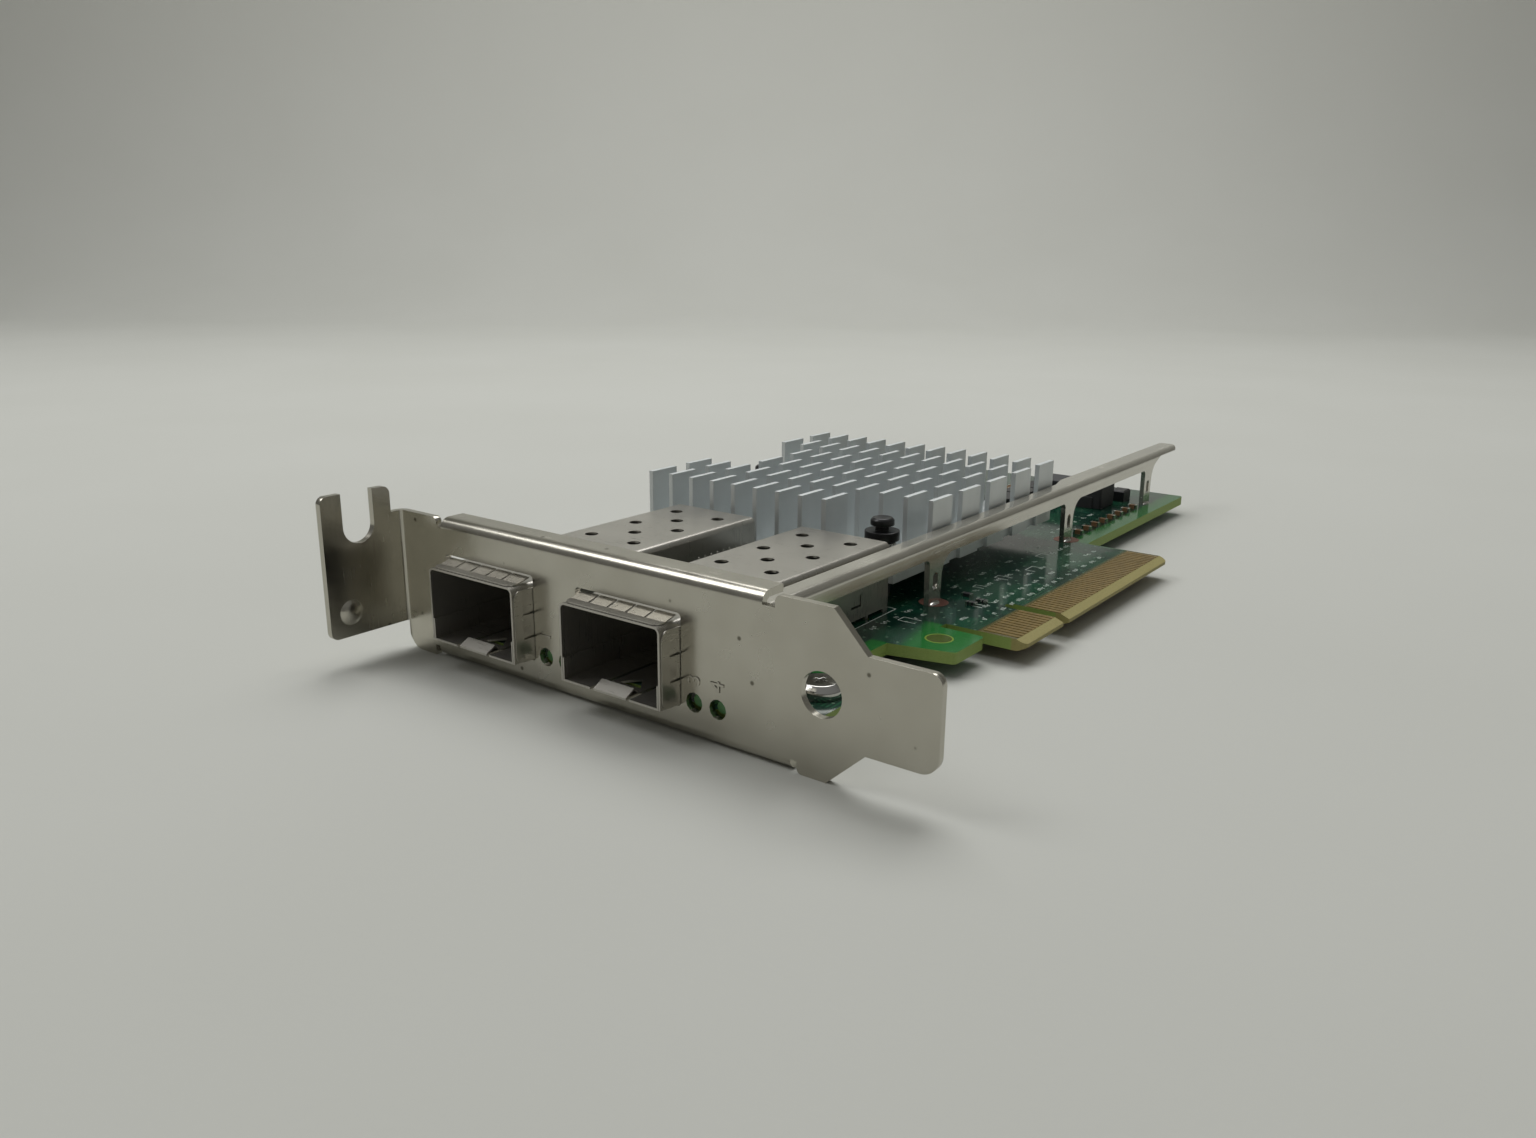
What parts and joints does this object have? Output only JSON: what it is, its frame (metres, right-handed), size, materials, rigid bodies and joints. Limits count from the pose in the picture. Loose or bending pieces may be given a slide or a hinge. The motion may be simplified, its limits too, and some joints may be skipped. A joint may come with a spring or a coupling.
{
  "type": "network interface card",
  "caption": "Low-profile network adapter card with two transceiver cages, finned heatsink, stiffener rail, folded bracket and gold edge contacts.",
  "frame": {"origin": "middle of the key notch at the tips of the edge contacts, on the board's component face", "axes": "+X out of the edge connector, +Y from the bracket to the rear edge of the board, +Z away from the component face"},
  "size_m": [0.0792, 0.16, 0.0218],
  "materials": {
    "plated_steel": "satin, plated",
    "cage_metal": "dull plating",
    "spring_metal": "satin",
    "rail_metal": "tinned",
    "bare_aluminium": "bare",
    "solder_mask": "glossy green mask on glass-fibre board",
    "contact_gold": "gold plate",
    "black_nylon": "matte",
    "black_moulding": "matte",
    "grey_ferrite": "matte",
    "grey_pad": "soft pad",
    "clear_lens": "gloss",
    "tan_ceramic": "fired ceramic",
    "crystal_lid": "polished lid",
    "screw_metal": "bright plating"
  },
  "bodies": {
    "root": {"circuit_board": "solder_mask", "edge_contacts": "contact_gold", "bracket": "plated_steel", "bracket_screws": "screw_metal", "port_1_cage": "cage_metal", "port_2_cage": "cage_metal", "port_1_floor": "cage_metal", "port_2_floor": "cage_metal", "port_1_collar": "spring_metal", "port_2_collar": "spring_metal", "port_1_connector": "black_moulding", "port_2_connector": "black_moulding", "connector_contacts": "contact_gold", "status_lamps": "clear_lens", "controller_chip": "black_moulding", "thermal_pad": "grey_pad", "heatsink": "bare_aluminium", "push_pins": "black_nylon", "push_pin_springs": "spring_metal", "stiffener_rail": "rail_metal", "power_inductors": "grey_ferrite", "voltage_regulators": "black_moulding", "flash_memory": "black_moulding", "crystal": "crystal_lid", "tantalum_capacitors": "black_moulding", "ceramic_capacitors": "tan_ceramic", "chip_resistors": "black_moulding"}
  },
  "joints": []
}
